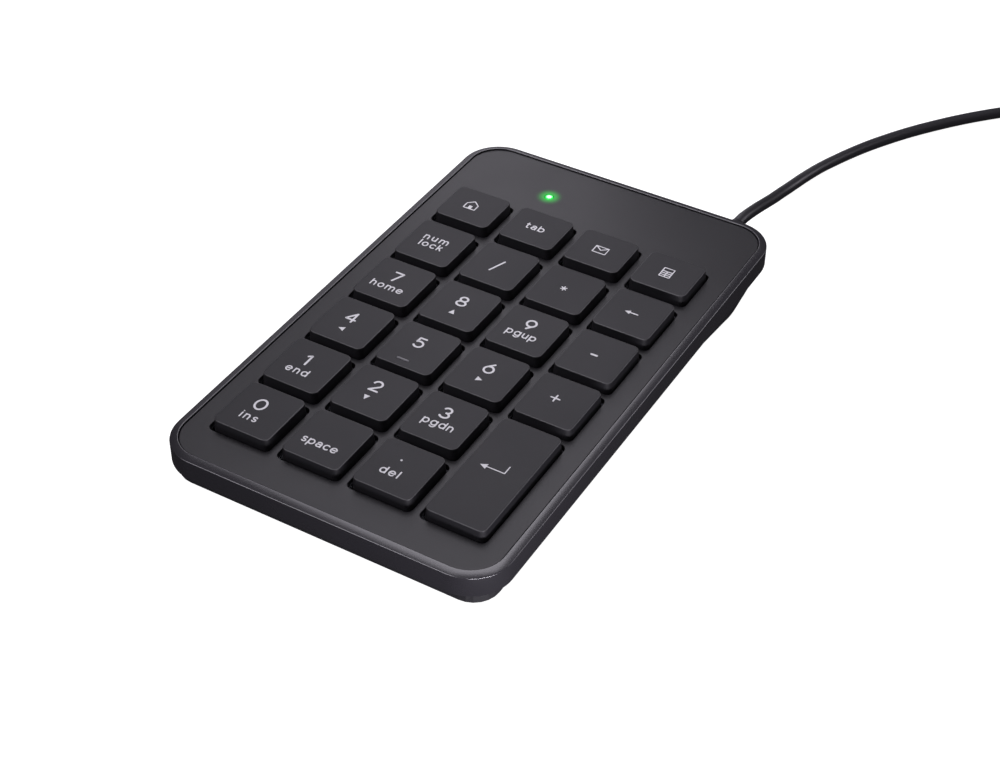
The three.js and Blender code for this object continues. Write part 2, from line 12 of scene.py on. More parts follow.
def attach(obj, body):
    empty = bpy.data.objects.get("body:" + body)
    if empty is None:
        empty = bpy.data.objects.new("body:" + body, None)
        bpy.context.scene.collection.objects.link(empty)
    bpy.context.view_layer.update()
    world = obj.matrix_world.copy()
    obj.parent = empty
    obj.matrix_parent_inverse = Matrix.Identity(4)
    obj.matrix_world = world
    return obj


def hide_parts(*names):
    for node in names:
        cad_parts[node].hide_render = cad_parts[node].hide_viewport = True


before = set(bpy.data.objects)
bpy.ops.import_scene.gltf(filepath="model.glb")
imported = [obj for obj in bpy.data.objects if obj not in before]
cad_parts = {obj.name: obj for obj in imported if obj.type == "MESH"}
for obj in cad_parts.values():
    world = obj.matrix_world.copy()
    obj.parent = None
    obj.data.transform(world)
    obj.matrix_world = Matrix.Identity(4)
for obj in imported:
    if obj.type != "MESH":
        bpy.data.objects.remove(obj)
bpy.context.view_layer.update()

# ---- sizes shared with the CAD source, in millimetres ----
MM = 0.001
WIDTH = 89.2
LENGTH = 148.6
CORNER = 10.5
RIM_OUTER = 0.2
RIM_TOP = 0.75
RIM_WIDTH = 2.05
RIM_EDGE = 0.35
WALL_BOTTOM = -5.4
WALL = 1.7
LEDGE_TOP = -1.5
LEDGE_BOTTOM = -2.7
LEDGE_WIDTH = 6.5
PLATE_TOP = 0.3
PLATE_BOTTOM = -1.2
GAP = 0.3
PITCH = 19.05
KEY_W = 15.4
KEY_L = 16.1
KEY_L_SHORT = 14.0
KEY_TOP = 2.78
KEY_CORNER = 1.6
KEY_FLARE = 0.5
KEY_SKIRT = -1.0
KEY_CEILING = 1.5
KEY_WALL = 1.1
KEY_FIELD_X = -28.55
FRONT_EDGE_Y = -62.0
REAR_ROW_EDGE_Y = 34.1
OPENING_MARGIN = (0.78, 0.7)
OPENING_SHIFT = (-0.2, -0.13)
OPENING_CORNER = 1.5
BASE_BOTTOM = -9.3
FOOT_FRONT_Y = -64.0
FOOT_REAR_Y = 51.7
FOOT_STAND = 0.5
LED_X = -15.35
LED_Y = 58.4
LED_CORE = 0.2        # radius that glows white, and where it has turned green
LED_GREEN = 0.8
HALO_START = 0.6
HALO_END = 5.2
BAR_LENGTH = 3.5      # homing bar on the 5 key, and its middle from the key's middle
BAR_WIDTH = 0.56
BAR_X = -0.85
BAR_Y = -5.6
CORD_X = 30.0
CORD_Z = -5.6
CORD_D = 3.2
RELIEF_LENGTH = 6.5
SHIFT_Y = -0.07
TILT = math.atan2(2.8, FOOT_REAR_Y - FOOT_FRONT_Y)
LIFT = -(FOOT_FRONT_Y * math.sin(TILT) + (BASE_BOTTOM - FOOT_STAND) * math.cos(TILT))
TIP = Matrix.Translation((0, SHIFT_Y, LIFT)) @ Matrix.Rotation(TILT, 4, "X")
LEVEL = Matrix.Identity(4)
LED_CENTRE = TIP @ Vector((LED_X, LED_Y, PLATE_TOP)) * MM

COIL_X = 115.0
COIL_Y = 194.6
COIL_RADIUS = 19.2
COIL_BOTTOM = 1.0
PLUG_Z = 4.0
PLUG_X = COIL_X + COIL_RADIUS + CORD_D
PLUG_REAR_Y = 156
PLUG_LENGTH = 30


# ---- camera: where the photographer stood ----
camera = bpy.data.objects.new("camera", bpy.data.cameras.new("camera"))
camera.data.sensor_width = 36
camera.data.lens = 68.92
camera.data.clip_start = 0.02
camera.data.clip_end = 20
camera.location = (0.18647, -0.31993, 0.29543)
camera.rotation_euler = [math.radians(a) for a in (51.0858, -0.96024, 30.47272)]
bpy.context.collection.objects.link(camera)
bpy.context.scene.camera = camera
bpy.context.scene.view_settings.view_transform = "Standard"


# ---- geometry helpers ----
def outline(width, length, radius, steps, x=0.0, y=0.0):
    """Corner points of a rounded rectangle, counterclockwise."""
    points = []
    for corner in range(4):
        sx = 1 if corner in (0, 3) else -1
        sy = 1 if corner < 2 else -1
        for k in range(steps + 1):
            a = (corner + k / steps) * math.pi / 2
            points.append((x + sx * (width / 2 - radius) + radius * math.cos(a),
                           y + sy * (length / 2 - radius) + radius * math.sin(a)))
    return points


def skin(loops, closed=False):
    """Vertices and faces through loops of equal length, capped at both ends unless the stack is closed."""
    n = len(loops[0])
    verts = [p for loop in loops for p in loop]
    faces = []
    rows = len(loops) if closed else len(loops) - 1
    for row in range(rows):
        a0 = row * n
        b0 = (row + 1) % len(loops) * n
        for i in range(n):
            j = (i + 1) % n
            faces.append((a0 + i, a0 + j, b0 + j, b0 + i))
    if not closed:
        faces.append(tuple(range(n - 1, -1, -1)))
        last = (len(loops) - 1) * n
        faces.append(tuple(range(last, last + n)))
    return verts, faces


def add_piece(name, verts, faces, material, body, place=TIP, sharp=38):
    """A mesh piece given in millimetres in the frame `place`, set in the row frame in metres."""
    mesh = bpy.data.meshes.new(name)
    mesh.from_pydata([(place @ Vector(v)) * MM for v in verts], [], faces)
    mesh.validate()
    mesh.update()
    mesh.shade_smooth()
    mesh.set_sharp_from_angle(angle=math.radians(sharp))
    mesh.materials.append(material)
    piece = bpy.data.objects.new(name, mesh)
    bpy.context.collection.objects.link(piece)
    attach(piece, body)
    return piece


def fillet(inset, z, radius, start, stop, steps):
    """(inset, z) points of a quarter round about a centre; angles in degrees, 0 inward and 90 up."""
    return [(inset + radius * math.cos(math.radians(a)), z + radius * math.sin(math.radians(a)))
            for a in (start + (stop - start) * k / steps for k in range(steps + 1))]


def swept(profile, width, length, corner, steps, x=0.0, y=0.0):
    """Loops of a rounded rectangle stepped in by each profile point's inset, at its z."""
    return [[(px, py, z) for px, py in
             outline(width - 2 * inset, length - 2 * inset, max(corner - inset, 0.2), steps, x, y)]
            for inset, z in profile]


# ---- materials ----
def nodes_of(name):
    material = bpy.data.materials.new(name)
    material.use_nodes = True
    return material, material.node_tree.nodes, material.node_tree.links


def moulded(name, colour, roughness, grain_mm=0.35, grain_depth=0.012, spread=0.06, mottle=0.10,
            specular=0.5):
    """Moulded plastic: fine spark grain as bump, slow variation in roughness and tone."""
    material, nodes, links = nodes_of(name)
    shader = nodes["Principled BSDF"]
    shader.inputs["Specular IOR Level"].default_value = specular
    place = nodes.new("ShaderNodeTexCoord")
    fine = nodes.new("ShaderNodeTexNoise")
    fine.inputs["Scale"].default_value = 1000 / grain_mm
    fine.inputs["Detail"].default_value = 2
    slow = nodes.new("ShaderNodeTexNoise")
    slow.inputs["Scale"].default_value = 42
    slow.inputs["Detail"].default_value = 4
    links.new(place.outputs["Object"], fine.inputs["Vector"])
    links.new(place.outputs["Object"], slow.inputs["Vector"])
    tone = nodes.new("ShaderNodeMix")
    tone.data_type = "RGBA"
    tone.inputs["A"].default_value = (*[c * (1 - mottle) for c in colour], 1)
    tone.inputs["B"].default_value = (*[c * (1 + mottle) for c in colour], 1)
    links.new(slow.outputs["Fac"], tone.inputs["Factor"])
    links.new(tone.outputs["Result"], shader.inputs["Base Color"])
    rough = nodes.new("ShaderNodeMapRange")
    rough.inputs["To Min"].default_value = roughness - spread
    rough.inputs["To Max"].default_value = roughness + spread
    links.new(slow.outputs["Fac"], rough.inputs["Value"])
    links.new(rough.outputs["Result"], shader.inputs["Roughness"])
    bump = nodes.new("ShaderNodeBump")
    bump.inputs["Strength"].default_value = 0.5
    bump.inputs["Distance"].default_value = grain_depth * MM
    links.new(fine.outputs["Fac"], bump.inputs["Height"])
    links.new(bump.outputs["Normal"], shader.inputs["Normal"])
    return material


def sheet_metal(name, colour, roughness, streak=(900, 40, 900)):
    """Plated or brushed sheet: streaks along Y in roughness and bump."""
    material, nodes, links = nodes_of(name)
    shader = nodes["Principled BSDF"]
    shader.inputs["Base Color"].default_value = (*colour, 1)
    shader.inputs["Metallic"].default_value = 1
    place = nodes.new("ShaderNodeTexCoord")
    stretch = nodes.new("ShaderNodeMapping")
    stretch.inputs["Scale"].default_value = streak
    grain = nodes.new("ShaderNodeTexNoise")
    grain.inputs["Scale"].default_value = 4
    grain.inputs["Detail"].default_value = 3
    links.new(place.outputs["Object"], stretch.inputs["Vector"])
    links.new(stretch.outputs["Vector"], grain.inputs["Vector"])
    rough = nodes.new("ShaderNodeMapRange")
    rough.inputs["To Min"].default_value = roughness - 0.08
    rough.inputs["To Max"].default_value = roughness + 0.1
    links.new(grain.outputs["Fac"], rough.inputs["Value"])
    links.new(rough.outputs["Result"], shader.inputs["Roughness"])
    bump = nodes.new("ShaderNodeBump")
    bump.inputs["Strength"].default_value = 0.25
    bump.inputs["Distance"].default_value = 0.00001
    links.new(grain.outputs["Fac"], bump.inputs["Height"])
    links.new(bump.outputs["Normal"], shader.inputs["Normal"])
    return material


def led_glow(material):
    """Adds the indicator's green halo to a housing material: light that the lens spills round itself."""
    nodes, links = material.node_tree.nodes, material.node_tree.links
    shader = nodes["Principled BSDF"]
    place = nodes.new("ShaderNodeTexCoord")
    reach = nodes.new("ShaderNodeVectorMath")
    reach.operation = "DISTANCE"
    reach.inputs[1].default_value = LED_CENTRE
    links.new(place.outputs["Object"], reach.inputs[0])
    fall = nodes.new("ShaderNodeMapRange")
    fall.interpolation_type = "SMOOTHERSTEP"
    fall.inputs["From Min"].default_value = HALO_START * MM
    fall.inputs["From Max"].default_value = HALO_END * MM
    fall.inputs["To Min"].default_value = 1
    fall.inputs["To Max"].default_value = 0
    links.new(reach.outputs["Value"], fall.inputs["Value"])
    power = nodes.new("ShaderNodeMath")
    power.operation = "POWER"
    power.inputs[1].default_value = 2.7
    links.new(fall.outputs["Result"], power.inputs[0])
    glow = nodes.new("ShaderNodeMix")
    glow.data_type = "RGBA"
    glow.inputs["A"].default_value = (0, 0, 0, 1)
    glow.inputs["B"].default_value = (0.0, 0.5, 0.03, 1)
    links.new(power.outputs["Value"], glow.inputs["Factor"])
    links.new(glow.outputs["Result"], shader.inputs["Emission Color"])
    shader.inputs["Emission Strength"].default_value = 0.85


def edge_sheen(material, flat, edge):
    """Faces that lean, as the rounded top edges do, reflect more than flat tops and upright walls."""
    nodes, links = material.node_tree.nodes, material.node_tree.links
    place = nodes.new("ShaderNodeTexCoord")
    split = nodes.new("ShaderNodeSeparateXYZ")
    ramp = nodes.new("ShaderNodeValToRGB")
    stops = ramp.color_ramp.elements
    stops[0].position = 0.25
    stops[0].color = (0, 0, 0, 1)
    stops[1].position = 0.995
    stops[1].color = (0, 0, 0, 1)
    stops.new(0.45).color = (1, 1, 1, 1)
    stops.new(0.93).color = (1, 1, 1, 1)
    sheen = nodes.new("ShaderNodeMapRange")
    sheen.inputs["To Min"].default_value = flat
    sheen.inputs["To Max"].default_value = edge
    links.new(place.outputs["Normal"], split.inputs["Vector"])
    links.new(split.outputs["Z"], ramp.inputs["Fac"])
    links.new(ramp.outputs["Color"], sheen.inputs["Value"])
    links.new(sheen.outputs["Result"], nodes["Principled BSDF"].inputs["Specular IOR Level"])


KEY_TONE = (0.0120, 0.0116, 0.0134)
PLATE_TONE = (0.0080, 0.0077, 0.0090)
RIM_TONE = (0.022, 0.021, 0.0245)
MATERIALS = {
    "rim": moulded("satin_rim", RIM_TONE, 0.27, grain_mm=0.5, grain_depth=0.004, spread=0.04, specular=1.0),
    "plate": moulded("matt_plate", PLATE_TONE, 0.37, grain_mm=0.28, grain_depth=0.016, specular=0.27),
    "base": moulded("matt_base", (0.014, 0.0135, 0.0155), 0.55, grain_mm=0.4, grain_depth=0.02),
    "key": moulded("keycap_plastic", KEY_TONE, 0.53, grain_mm=0.22, grain_depth=0.012),
    # homing bar: a paler grey and less rough than the keycaps
    "pale_bar": moulded("pale_grey_bar", (0.12, 0.118, 0.128), 0.35, grain_mm=0.3, grain_depth=0.004),
    "ink": moulded("legend_ink", (0.62, 0.62, 0.63), 0.5, grain_mm=0.2, grain_depth=0.004, mottle=0.04),
    "inner": moulded("inner_plastic", (0.20, 0.21, 0.23), 0.5),
    "silicone": moulded("dome_silicone", (0.55, 0.57, 0.60), 0.4, grain_mm=0.8),
    "film": moulded("circuit_film", (0.34, 0.40, 0.46), 0.25, grain_mm=1.5),
    "board": moulded("solder_mask", (0.02, 0.16, 0.06), 0.3, grain_mm=0.6),
    "label": moulded("blank_label", (0.42, 0.42, 0.43), 0.45, grain_mm=0.5, mottle=0.03),
    "rubber": moulded("foot_rubber", (0.014, 0.014, 0.015), 0.8, grain_mm=0.5, grain_depth=0.03),
    "cord": moulded("vinyl_jacket", (0.020, 0.0195, 0.022), 0.38, grain_mm=0.7, grain_depth=0.01),
    "plug": moulded("plug_moulding", (0.018, 0.0175, 0.020), 0.45, grain_mm=0.35, grain_depth=0.02),
    "tongue": moulded("insulator", (0.68, 0.68, 0.67), 0.4),
    "steel": sheet_metal("plated_shell", (0.62, 0.62, 0.63), 0.26),
    "screw": sheet_metal("zinc_screw", (0.42, 0.42, 0.44), 0.34, streak=(300, 300, 300)),
}
led_glow(MATERIALS["plate"])
edge_sheen(MATERIALS["key"], 0.27, 1.0)


def lens_material():
    material, nodes, links = nodes_of("lit_lens")
    shader = nodes["Principled BSDF"]
    shader.inputs["Base Color"].default_value = (0.15, 0.9, 0.25, 1)
    shader.inputs["Roughness"].default_value = 0.2
    place = nodes.new("ShaderNodeTexCoord")
    reach = nodes.new("ShaderNodeVectorMath")
    reach.operation = "DISTANCE"
    reach.inputs[1].default_value = LED_CENTRE
    links.new(place.outputs["Object"], reach.inputs[0])
    ramp = nodes.new("ShaderNodeMapRange")
    ramp.inputs["From Min"].default_value = LED_CORE * MM
    ramp.inputs["From Max"].default_value = LED_GREEN * MM
    links.new(reach.outputs["Value"], ramp.inputs["Value"])
    tint = nodes.new("ShaderNodeMix")
    tint.data_type = "RGBA"
    tint.inputs["A"].default_value = (0.80, 1.0, 0.80, 1)
    tint.inputs["B"].default_value = (0.0, 0.42, 0.03, 1)
    links.new(ramp.outputs["Result"], tint.inputs["Factor"])
    links.new(tint.outputs["Result"], shader.inputs["Emission Color"])
    shader.inputs["Emission Strength"].default_value = 1.6
    return material


MATERIALS["lens"] = lens_material()


# ---- cord, coil and what is on it ----
ROUTE = [
    (30.1, 84.5, 7.6), (30.3, 88.0, 7.1), (30.5, 92.5, 6.2), (30.7, 97.5, 5.0), (30.9, 102.5, 3.8),
    (31.1, 107.5, 2.8), (31.5, 112.0, 2.1), (32.1, 116.5, 1.7), (33.0, 121.0, 1.6),
    (34.7, 127.4, 1.6), (37.1, 134.2, 1.6), (40.0, 141.4, 1.6), (43.5, 148.8, 1.6), (48.8, 158.3, 1.6),
    (54.8, 167.4, 1.6), (61.4, 176.2, 1.6), (68.6, 184.5, 1.6), (76.4, 192.3, 1.6), (84.6, 199.5, 1.6),
    (91.0, 204.6, 1.6),
]
TAIL = [
    (PLUG_X, 181.4, 12.2), (PLUG_X, 177.5, 11.8), (PLUG_X, 172.5, 10.2), (PLUG_X, 167.5, 7.4),
    (PLUG_X, 162.5, 4.9), (PLUG_X, 159.0, 4.1), (PLUG_X, PLUG_REAR_Y + GAP, PLUG_Z),
    (PLUG_X, PLUG_REAR_Y - 1, PLUG_Z),
]
# the coil's turns in the order they are wound: (column from the inside, layer from the floor)
TURNS = [(2, 0), (1, 0), (0, 0), (0, 1), (1, 1), (2, 1), (2, 2), (1, 2), (0, 2), (0, 3), (1, 3), (2, 3)]
ENTRY_ANGLE = 120
CROSSING = 45          # degrees over which the cord moves to its next column or layer
FIRST_CROSSING = 270
WOUND = 3720           # degrees in all, clockwise
COIL_STEP = 7.5        # degrees between the points of the coil
relief_end = TIP @ Vector((CORD_X, LENGTH / 2 + RELIEF_LENGTH, CORD_Z))


def smooth_path(points, per_span):
    """Catmull-Rom curve through the points."""
    p = [Vector(q) for q in points]
    p = [2 * p[0] - p[1]] + p + [2 * p[-1] - p[-2]]
    path = []
    for i in range(1, len(p) - 2):
        for k in range(per_span):
            t = k / per_span
            a, b, c, d = p[i - 1:i + 3]
            path.append(0.5 * (2 * b + (c - a) * t + (2 * a - 5 * b + 4 * c - d) * t * t
                               + (3 * b - a - 3 * c + d) * t ** 3))
    path.append(p[-2])
    return path


def crossings():
    """Clockwise angle at which each move to the next turn starts. A move that follows one of the other
    kind starts a crossing earlier, so that a climb and a sidestep never meet."""
    starts = [FIRST_CROSSING]
    kinds = [a[1] != b[1] for a, b in zip(TURNS, TURNS[1:])]
    for before, after in zip(kinds, kinds[1:]):
        starts.append(starts[-1] + 360 - (0 if before == after else CROSSING + 5))
    return starts


def coil_path():
    starts = crossings()
    path = []
    for k in range(round(WOUND / COIL_STEP) + 1):
        angle = k * COIL_STEP
        column, layer = TURNS[0]
        for start, (c, h) in zip(starts, TURNS[1:]):
            share = min(max((angle - start) / CROSSING, 0), 1)
            share = (1 - math.cos(math.pi * share)) / 2
            column += (c - column) * share
            layer += (h - layer) * share
            if share < 1:
                break
        radius = COIL_RADIUS + (column - 1) * CORD_D
        a = math.radians(ENTRY_ANGLE - angle)
        path.append(Vector((COIL_X + radius * math.cos(a), COIL_Y + radius * math.sin(a),
                            COIL_BOTTOM + (layer + 0.5) * CORD_D)))
    return path


def cord_path():
    coil = coil_path()
    lead_in = [(95.2, 207.9, 1.8), (99.6, 211.2, 2.3)]
    lead = smooth_path([relief_end - Vector((0, 1.0, 0)), relief_end + Vector((0, 1.2, 0)), *ROUTE,
                        *lead_in, coil[0], coil[2]], 5)[:-5]
    tail = smooth_path([coil[-1], (PLUG_X, 189.5, 12.2), *TAIL], 4)[1:]
    return lead[:-1] + coil + tail


def cord_curve():
    data = bpy.data.curves.new("cord", "CURVE")
    data.dimensions = "3D"
    data.bevel_depth = CORD_D / 2 * MM
    data.bevel_resolution = 4
    data.use_fill_caps = True
    points = cord_path()
    spline = data.splines.new("POLY")
    spline.points.add(len(points) - 1)
    for target, p in zip(spline.points, points):
        target.co = (*(p * MM), 1)
    spline.use_smooth = True
    data.materials.append(MATERIALS["cord"])
    piece = bpy.data.objects.new("cord", data)
    bpy.context.collection.objects.link(piece)
    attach(piece, "case")
    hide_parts("cord_lead", "cord_coil", "cord_tail")
    return piece


def turned(profile, steps, centre):
    """Loops of a piece turned about a line along Y, from (radius, y) pairs."""
    x, z = centre
    return [[(x + r * math.sin(2 * math.pi * k / steps), y, z + r * math.cos(2 * math.pi * k / steps))
             for k in range(steps)] for r, y in profile]


def relief_boot():
    """Tapered strain relief with three flex grooves."""
    wall = LENGTH / 2
    profile = [(1.9, wall - 4.8), (1.9, wall + 0.25), (2.15, wall + 0.55), (2.2, wall + 0.8)]
    for k in range(3):
        y = wall + 1.5 + 1.5 * k
        r = 2.15 - 0.09 * k
        profile += [(r, y), (r - 0.3, y + 0.12), (r - 0.3, y + 0.45), (r - 0.03, y + 0.57)]
    profile += [(1.82, wall + RELIEF_LENGTH - 0.25), (1.66, wall + RELIEF_LENGTH)]
    verts, faces = skin(turned(profile, 28, (CORD_X, CORD_Z)))
    piece = add_piece("relief_boot", verts, faces, MATERIALS["cord"], "case")
    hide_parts("strain_relief")
    return piece


def plug_moulding():
    """Plug body: soft-edged block with a tapered neck and grip ribs on its two broad faces."""
    front = PLUG_REAR_Y - PLUG_LENGTH
    stations = [(front, 0.6, 0.5), (front + 0.3, 0.2, 0.16), (front + 0.9, 0, 0)]
    for k in range(5):
        y = front + 9 + 2.2 * k
        stations += [(y, 0, 0), (y + 0.25, 0.35, 0.35), (y + 0.85, 0.35, 0.35), (y + 1.1, 0, 0)]
    stations += [(PLUG_REAR_Y - 7.5, 0, 0), (PLUG_REAR_Y - 5, 0.5, 0.35), (PLUG_REAR_Y - 2.2, 2.6, 1.1),
                 (PLUG_REAR_Y - 0.5, 4.4, 1.9), (PLUG_REAR_Y, 5.0, 2.2)]
    loops = []
    for y, in_x, in_z in stations:
        w, h = 16 - 2 * in_x, 8 - 2 * in_z
        loops.append([(PLUG_X + px, y, PLUG_Z + pz) for px, pz in outline(w, h, min(2.0, h / 2 - 0.1), 5)])
    verts, faces = skin(loops)
    faces = [tuple(reversed(f)) for f in faces]
    piece = add_piece("plug_moulding", verts, faces, MATERIALS["plug"], "case", LEVEL,
                      sharp=50)
    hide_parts("plug_body")
    return piece


def coil_strap():
    """Flat strap with a rounded section, looped round the coil's turns."""
    width, height = 3 * CORD_D + 0.6, 4 * CORD_D + 0.6
    loops = []
    for grow, half in ((0, 1.8), (0, -1.8), (0.15, -2.0), (0.5, -2.0), (0.7, -1.75), (0.7, 1.75), (0.5, 2.0),
                       (0.15, 2.0)):
        loops.append([(COIL_RADIUS + px, half, COIL_BOTTOM - 0.3 + (height / 2) + pz)
                      for px, pz in outline(width + 2 * grow, height + 2 * grow, 1.2 + grow, 5)])
    verts, faces = skin(loops, closed=True)
    place = Matrix.Translation((COIL_X, COIL_Y, 0)) @ Matrix.Rotation(-2.2, 4, "Z")
    piece = add_piece("coil_strap", verts, faces, MATERIALS["rubber"], "case", place)
    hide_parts("cord_tie")
    return piece


on_cord = [relief_boot(), plug_moulding(), coil_strap(), "plug_shell", "plug_tongue"]
cord_curve()


# ---- housing ----
def rim_moulding():
    slope = (RIM_TOP - RIM_OUTER) / (RIM_WIDTH - RIM_EDGE)
    lean = math.atan(slope)
    band_faces = 90 + math.degrees(lean)

    def under_band(inset, radius):
        return RIM_OUTER + (inset - RIM_EDGE) * slope - radius / math.cos(lean)

    outer, inner = 0.3, 0.16
    profile = [(0.25, WALL_BOTTOM), (0.06, WALL_BOTTOM + 0.08), (0, WALL_BOTTOM + 0.3)]
    profile += fillet(outer, under_band(outer, outer), outer, 180, band_faces, 5)
    profile += fillet(RIM_WIDTH - inner, under_band(RIM_WIDTH - inner, inner), inner, band_faces, 0, 4)
    profile += [(RIM_WIDTH, LEDGE_TOP), (LEDGE_WIDTH, LEDGE_TOP), (LEDGE_WIDTH, LEDGE_BOTTOM),
                (WALL, LEDGE_BOTTOM), (WALL, WALL_BOTTOM)]
    verts, faces = skin(swept(profile, WIDTH, LENGTH, CORNER, 14), closed=True)
    piece = add_piece("rim_moulding", verts, faces, MATERIALS["rim"], "case")
    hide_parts("upper_frame")
    return piece


def keyway_plate(places):
    """Flat plate with a soft lip round each key opening."""
    data = bpy.data.curves.new("keyway_plate", "CURVE")
    data.dimensions = "2D"
    data.fill_mode = "BOTH"
    lip = 0.18
    inset = RIM_WIDTH + 0.14
    rings = [outline(WIDTH - 2 * inset, LENGTH - 2 * inset, CORNER - inset, 14)]
    rings += [outline(KEY_W + 2 * OPENING_MARGIN[0], length + 2 * OPENING_MARGIN[1], OPENING_CORNER, 8,
                      x + OPENING_SHIFT[0], y + OPENING_SHIFT[1]) for x, y, length in places]
    rings.append([(LED_X + 1.2 * math.cos(math.radians(15 * k)), LED_Y + 1.2 * math.sin(math.radians(15 * k)))
                  for k in range(24)])
    for ring in rings:
        spline = data.splines.new("POLY")
        spline.points.add(len(ring) - 1)
        for target, (x, y) in zip(spline.points, ring):
            target.co = (x, y, 0, 1)
        spline.use_cyclic_u = True
    data.extrude = (PLATE_TOP - PLATE_BOTTOM) / 2 - lip
    data.bevel_depth = lip
    data.bevel_resolution = 2
    data.offset = -lip
    draft = bpy.data.objects.new("draft", data)
    bpy.context.collection.objects.link(draft)
    solid = bpy.data.meshes.new_from_object(draft.evaluated_get(bpy.context.evaluated_depsgraph_get()))
    verts = [(v.co.x, v.co.y, v.co.z + (PLATE_TOP + PLATE_BOTTOM) / 2) for v in solid.vertices]
    faces = [tuple(p.vertices) for p in solid.polygons]
    bpy.data.objects.remove(draft)
    piece = add_piece("keyway_plate", verts, faces, MATERIALS["plate"], "case")
    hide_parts("top_plate")
    return piece


def keycap(name, x, y, length):
    """Hollow keycap with a crisp rounded top edge."""
    round_over = 0.26
    profile = [(-KEY_FLARE / 2, KEY_SKIRT + 0.08), (-0.03, KEY_TOP - round_over - 0.5)]
    profile += fillet(round_over, KEY_TOP - round_over, round_over, 175, 90, 5)
    profile.append((round_over + 0.25, KEY_TOP))
    profile.insert(0, (-KEY_FLARE / 2 + 0.1, KEY_SKIRT))
    profile.insert(0, (KEY_WALL - 0.3, KEY_SKIRT))
    profile.insert(0, (KEY_WALL, KEY_CEILING))
    verts, faces = skin(swept(profile, KEY_W, length, KEY_CORNER, 8, x, y))
    piece = add_piece("cap_" + name[4:], verts, faces, MATERIALS["key"], name + "_cap",
                      sharp=50)
    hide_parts(name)
    return piece


# ---- legends: rounded strokes of ink, drawn here and laid on the key tops ----
ARC_STEP = 12         # degrees between the points of a curved stroke


def arc(cx, cy, rx, ry, start, stop):
    count = max(2, round(abs(stop - start) / ARC_STEP))
    return [(cx + rx * math.cos(math.radians(start + (stop - start) * k / count)),
             cy + ry * math.sin(math.radians(start + (stop - start) * k / count))) for k in range(count + 1)]


def ring(cx, cy, rx, ry):
    return arc(cx, cy, rx, ry, 90, 450)


X_TOP = 1.5       # small letters: middle of the stroke at the letter's top
TALL = 2.1        # stems of b, d, h, k, l
BOWL = ring(0.7, X_TOP / 2, 0.7, X_TOP / 2)
ARCH = arc(0.58, 0.92, 0.58, 0.58, 180, 0) + [(1.16, 0)]
LETTERS = {
    # letter: (width between stroke middles, strokes)
    "a": (1.2, [arc(0.62, 0.98, 0.56, 0.52, 152, 0) + [(1.18, 0)], ring(0.57, 0.42, 0.57, 0.42)]),
    "b": (1.4, [[(0, 0), (0, TALL)], BOWL]),
    "c": (1.2, [arc(0.7, 0.75, 0.7, 0.75, 48, 312)]),
    "d": (1.4, [[(1.4, 0), (1.4, TALL)], BOWL]),
    "e": (1.4, [[(0.05, 0.78), (1.36, 0.78)] + arc(0.7, 0.75, 0.7, 0.75, 4, 318)]),
    "g": (1.4, [BOWL, [(1.4, X_TOP), (1.4, 0)] + arc(0.72, -0.05, 0.68, 0.62, 0, -145)]),
    "h": (1.16, [[(0, 0), (0, TALL)], ARCH]),
    "i": (0.0, [[(0, 0), (0, X_TOP)], [(0, 2.08), (0, 2.12)]]),
    "k": (1.05, [[(0, 0), (0, TALL)], [(0.1, 0.66), (0.98, 1.5)], [(0.42, 0.98), (1.05, 0)]]),
    "l": (0.0, [[(0, 0), (0, TALL)]]),
    "m": (2.2, [[(0, 0), (0, X_TOP)], arc(0.55, 0.95, 0.55, 0.55, 180, 0) + [(1.1, 0)],
                arc(1.65, 0.95, 0.55, 0.55, 180, 0) + [(2.2, 0)]]),
    "n": (1.16, [[(0, 0), (0, X_TOP)], ARCH]),
    "o": (1.4, [BOWL]),
    "p": (1.4, [[(0, X_TOP), (0, -0.75)], BOWL]),
    "s": (0.95, [arc(0.48, 1.12, 0.44, 0.38, 35, 270) + arc(0.48, 0.37, 0.46, 0.37, 80, -145)]),
    "t": (0.75, [[(0.24, 2.0), (0.24, 0.4)] + arc(0.6, 0.38, 0.36, 0.38, 190, 290),
                 [(-0.06, 1.5), (0.72, 1.5)]]),
    "u": (1.16, [[(0, X_TOP), (0, 0.58)] + arc(0.58, 0.58, 0.58, 0.58, 180, 360) + [(1.16, X_TOP)],
                 [(1.16, X_TOP), (1.16, 0)]]),
}
DIGITS = {
    "0": [ring(1.38, 1.72, 1.38, 1.72)],
    "1": [[(0.85, 0), (0.85, 3.45), (0.0, 2.95)]],
    "2": [arc(1.2, 2.36, 1.08, 1.09, 168, -28) + [(0.05, 0)], [(0.05, 0), (2.35, 0)]],
    "3": [arc(1.12, 2.56, 0.98, 0.89, 150, -82), arc(1.12, 0.86, 1.14, 0.86, 86, -152)],
    "4": [[(1.95, 3.45), (0, 0.9), (2.6, 0.9)], [(1.95, 3.45), (1.95, 0)]],
    "5": [[(2.1, 3.45), (0.42, 3.45), (0.3, 1.95)] + arc(1.12, 1.12, 1.18, 1.12, 128, -148)],
    "6": [ring(1.2, 1.2, 1.2, 1.2), [(1.75, 3.45), (1.0, 2.7)] + arc(1.2, 1.2, 1.2, 1.2, 132, 165)],
    "7": [[(0, 3.45), (2.25, 3.45), (0.75, 0)]],
    "8": [ring(1.23, 2.6, 0.98, 0.86), ring(1.23, 0.88, 1.22, 0.88)],
    "9": [ring(1.2, 2.25, 1.2, 1.2), [(0.85, 0), (1.5, 0.8)] + arc(1.2, 2.25, 1.2, 1.2, -48, -15)],
}
PEN_SMALL = 0.37
PEN_DIGIT = 0.54
PEN_ICON = 0.32
INK_TOP = 0.02        # the ink stands this much over the key top, and is let into it by INK_DEEP
INK_DEEP = 0.015


def moved(strokes, dx, dy):
    return [[(x + dx, y + dy) for x, y in stroke] for stroke in strokes]


